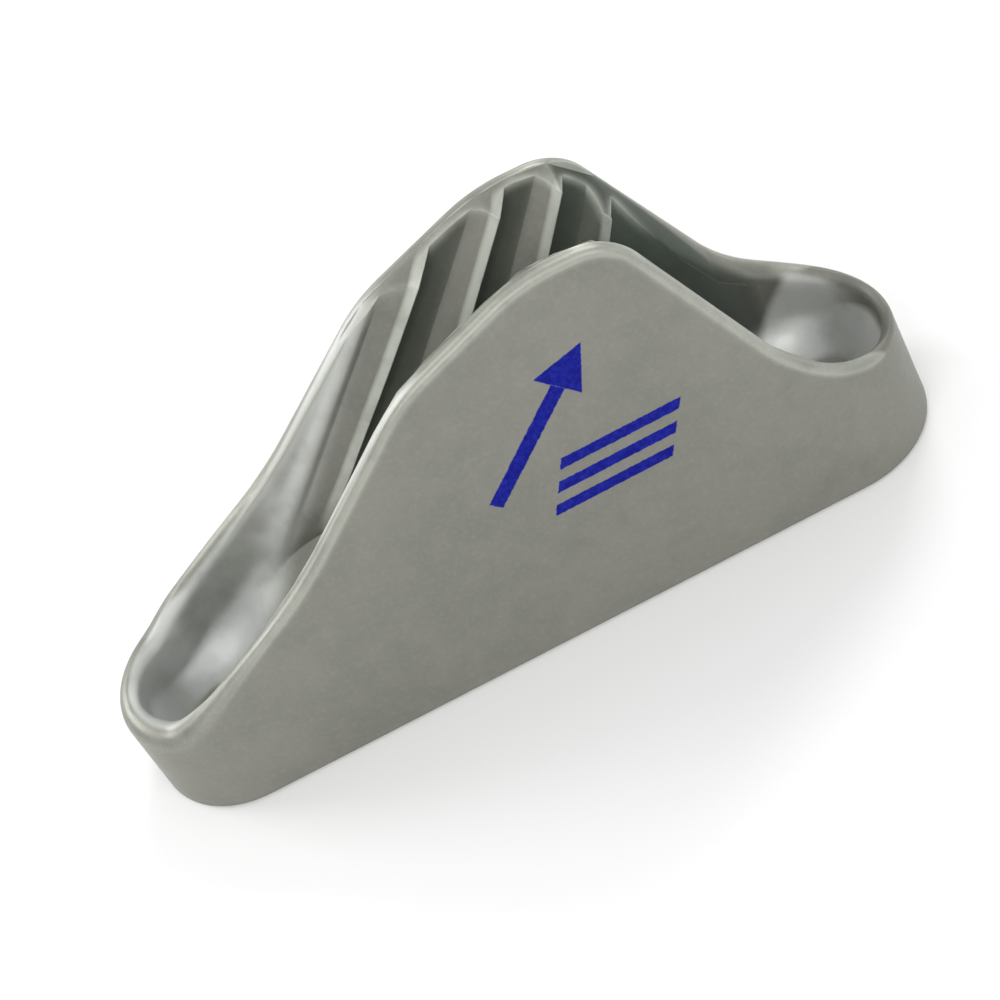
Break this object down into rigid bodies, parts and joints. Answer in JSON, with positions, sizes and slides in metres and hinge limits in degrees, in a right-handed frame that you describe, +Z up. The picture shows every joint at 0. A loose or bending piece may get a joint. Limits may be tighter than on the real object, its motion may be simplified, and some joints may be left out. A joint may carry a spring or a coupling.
{
  "type": "jam cleat",
  "caption": "Upright jam cleat for thin rope: a V throat with leaning saw teeth inside two tall walls, and a spoon-shaped fairlead with a screw hole at each end.",
  "frame": {"origin": "middle of the flat base, on the surface the cleat is screwed to", "axes": "+X along the base from the low nose to the tail, +Y across the throat, +Z up out of the base"},
  "size_m": [0.066, 0.016, 0.0307],
  "materials": {
    "cast_aluminium": "satin cast aluminium"
  },
  "bodies": {
    "root": {"cleat_body": "cast_aluminium"}
  },
  "joints": []
}
